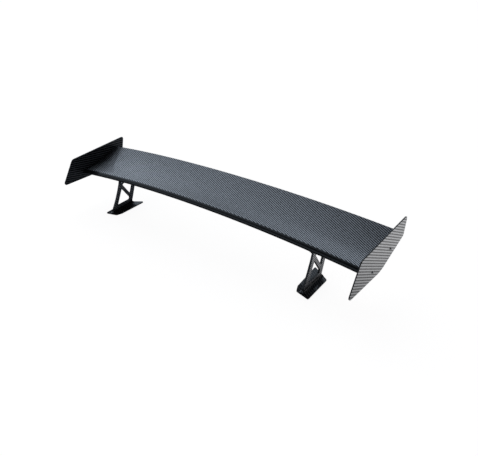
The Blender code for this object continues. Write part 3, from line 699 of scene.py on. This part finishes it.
for side, sign in SIDES.items():
    holes = [circle(blade_point(HALF_SPAN, s, 0), PLATE_HOLE_RADIUS) for s in ENDPLATE_SCREWS_AT]
    outlines = [rounded(ENDPLATE, steps=16), *holes]
    matrix = facing_x(sign * (HALF_SPAN + GAP + PLATE_THICKNESS / 2))
    board = plate(f"endplate_board_{side}", outlines, PLATE_THICKNESS, PLATE_EDGE, matrix)
    place_piece(board, PLATE, WING, "plate_carbon", f"endplate_{side}")


# ---------------------------------------------------------------- uprights

def upright_outline():
    """A sagging front edge, the lugs round the pivot and the clamp bolt, and the straight rear edge."""
    start, end = Vector(FRONT_TOE), Vector(FRONT_SHOULDER)
    run = end - start
    inward = Vector((run.y, -run.x)).normalized()
    shares = [k / 24 for k in range(1, 24)]
    front = [start] + [start + run * t + inward * FRONT_EDGE_SAG * 4 * t * (1 - t) for t in shares]
    return front + arc(PIVOT, LUG, 160, 80) + arc(CLAMP, LUG, 105, -25) + [Vector(REAR_HEEL)]


for side, sign in SIDES.items():
    holes = [circle(place, BOLT_RADIUS + GAP) for place in (PIVOT, CLAMP)]
    outlines = [upright_outline(), rounded(LARGE_OPENING), rounded(SMALL_OPENING), *holes]
    matrix = facing_x(sign * UPRIGHT_X)
    truss = plate(f"upright_truss_{side}", outlines, UPRIGHT_THICKNESS, TRUSS_EDGE, matrix)
    place_piece(truss, TRUSS, STAND, "plate_carbon", f"upright_{side}")


# ---------------------------------------------------------------- carried-over nodes

for side in SIDES:
    for name, material in (
        ("wing_bracket", BLACK), ("end_rib", ALUMINIUM), ("mount_block", ALUMINIUM), ("foot_gasket", RUBBER),
        ("foot_insert_front", BRASS), ("foot_insert_rear", BRASS), ("foot_screw_front", DARK_STEEL),
        ("foot_screw_rear", DARK_STEEL), ("foot", FOOT),
    ):
        carry_over(f"{name}_{side}", material)
for name in ("front_spar", "rear_spar"):
    carry_over(name, INNER)


# ---------------------------------------------------------------- floor, light and camera

CAMERA_AT = Vector((1.2667, -1.2547 + DRAWING_Y, 1.1009))
YAW, PITCH, ROLL = math.radians(44.11), math.radians(32.37), math.radians(-7.29)
LENS = 39.10


def make_camera():
    ahead = Vector((-math.sin(YAW) * math.cos(PITCH), math.cos(YAW) * math.cos(PITCH), -math.sin(PITCH)))
    level = ahead.cross(Vector((0, 0, 1))).normalized()
    above = level.cross(ahead)
    right = level * math.cos(ROLL) + above * math.sin(ROLL)
    up = above * math.cos(ROLL) - level * math.sin(ROLL)
    data = bpy.data.cameras.new("camera")
    data.lens, data.sensor_width = LENS, 36.0
    camera = bpy.data.objects.new("camera", data)
    bpy.context.scene.collection.objects.link(camera)
    turn = Matrix((right, up, -ahead)).transposed().to_4x4()
    camera.matrix_world = Matrix.Translation(CAMERA_AT) @ turn
    bpy.context.scene.camera = camera


def total_of(tree, sockets):
    total = sockets[0]
    for socket in sockets[1:]:
        add = tree.nodes.new("ShaderNodeMath")
        add.operation = "ADD"
        tree.links.new(total, add.inputs[0])
        tree.links.new(socket, add.inputs[1])
        total = add.outputs[0]
    return total


def fade(tree, value, start, full, strength):
    """Rises smoothly from nothing at start to strength at full."""
    ramp = tree.nodes.new("ShaderNodeMapRange")
    ramp.interpolation_type = "SMOOTHSTEP"
    for socket, given in zip(list(ramp.inputs)[1:5], (start, full, 0.0, strength)):
        socket.default_value = given
    tree.links.new(value, ramp.inputs[0])
    return ramp.outputs[0]


# azimuth from +X towards +Y and height in degrees, reach in degrees, brightness
SKY = [
    (160, 5, 34, 0.80),
    (175, 25, 34, 0.21),
    (140, 45, 34, 0.54),
    (95, 25, 34, 0.51),
    (-130, 7, 46, 0.58),
    (-45, 40, 50, 0.10),
]
AMBIENT = 0.008
STUDIO_COLOUR = (0.87, 1.0, 1.15, 1)
# painted pools of light, where the floor glows for all rays but the camera's: x, y, reach, brightness
POOLS = [
    (1.0, 0.35, 0.75, 0.92),
    (0.35, 0.60, 0.75, 0.21),
    (1.0, -0.30, 0.75, 0.31),
]
FLOOR_ALBEDO, FLOOR_REACH, FLOOR_DROP = 0.3, 9.0, 0.0002
# the floor as the camera sees it: its own brightness, and the colour that shadows fall on
SEEN_GLOW, SEEN_COLOUR = 0.90, (0.69, 0.60, 0.54, 1)


def make_world():
    """A white surround for the camera, and for everything else a dark studio with large soft lights in it."""
    world = bpy.data.worlds.new("studio")
    bpy.context.scene.world = world
    world.use_nodes = True
    tree = world.node_tree
    tree.nodes.clear()
    new, link = tree.nodes.new, tree.links.new
    direction = new("ShaderNodeTexCoord").outputs["Generated"]
    ambient = new("ShaderNodeValue")
    ambient.outputs[0].default_value = AMBIENT
    parts = [ambient.outputs[0]]
    for azimuth, height, reach, strength in SKY:
        a, h = math.radians(azimuth), math.radians(height)
        dot = new("ShaderNodeVectorMath")
        dot.operation = "DOT_PRODUCT"
        dot.inputs[1].default_value = (math.cos(a) * math.cos(h), math.sin(a) * math.cos(h), math.sin(h))
        link(direction, dot.inputs[0])
        parts.append(fade(tree, dot.outputs["Value"], math.cos(math.radians(reach)), 1.0, strength))
    studio, white = new("ShaderNodeBackground"), new("ShaderNodeBackground")
    link(total_of(tree, parts), studio.inputs["Strength"])
    studio.inputs["Color"].default_value = STUDIO_COLOUR
    white.inputs["Color"].default_value = (1, 1, 1, 1)
    mix, path = new("ShaderNodeMixShader"), new("ShaderNodeLightPath")
    link(path.outputs["Is Camera Ray"], mix.inputs[0])
    link(studio.outputs[0], mix.inputs[1])
    link(white.outputs[0], mix.inputs[2])
    link(mix.outputs[0], new("ShaderNodeOutputWorld").inputs["Surface"])


def make_floor():
    """Pale floor. The camera sees it nearly white with a faint shadow; reflections see it glow in painted
    pools of light.
    """
    mesh = bpy.data.meshes.new("floor")
    corners = [(FLOOR_REACH * x, FLOOR_REACH * y, 0) for x, y in ((-1, -1), (1, -1), (1, 1), (-1, 1))]
    mesh.from_pydata(corners, [], [(0, 1, 2, 3)])
    floor = bpy.data.objects.new("floor", mesh)
    bpy.context.scene.collection.objects.link(floor)
    floor.location.z = -FLOOR_DROP
    material = bpy.data.materials.new("pale_floor")
    material.use_nodes = True
    tree = material.node_tree
    tree.nodes.clear()
    new, link = tree.nodes.new, tree.links.new
    place = new("ShaderNodeTexCoord").outputs["Object"]
    parts = []
    for x, y, reach, strength in POOLS:
        away = new("ShaderNodeVectorMath")
        away.operation = "DISTANCE"
        away.inputs[1].default_value = (x, y, 0)
        link(place, away.inputs[0])
        parts.append(fade(tree, away.outputs["Value"], reach, 0.0, strength))
    glow, pale = new("ShaderNodeEmission"), new("ShaderNodeBsdfDiffuse")
    # painted pools of light: the floor glows around each of the POOLS, for every ray but the camera's
    pool, dim = new("ShaderNodeEmission"), new("ShaderNodeBsdfDiffuse")
    glow.inputs["Strength"].default_value = SEEN_GLOW
    pale.inputs["Color"].default_value = SEEN_COLOUR
    dim.inputs["Color"].default_value = (FLOOR_ALBEDO, FLOOR_ALBEDO, FLOOR_ALBEDO, 1)
    link(total_of(tree, parts), pool.inputs["Strength"])
    seen, mirrored = new("ShaderNodeAddShader"), new("ShaderNodeAddShader")
    mix, path = new("ShaderNodeMixShader"), new("ShaderNodeLightPath")
    link(glow.outputs[0], seen.inputs[0])
    link(pale.outputs[0], seen.inputs[1])
    link(pool.outputs[0], mirrored.inputs[0])
    link(dim.outputs[0], mirrored.inputs[1])
    link(path.outputs["Is Camera Ray"], mix.inputs[0])
    link(mirrored.outputs[0], mix.inputs[1])
    link(seen.outputs[0], mix.inputs[2])
    link(mix.outputs[0], new("ShaderNodeOutputMaterial").inputs["Surface"])
    mesh.materials.append(material)


make_camera()
make_world()
make_floor()
bpy.context.scene.view_settings.view_transform = "Standard"
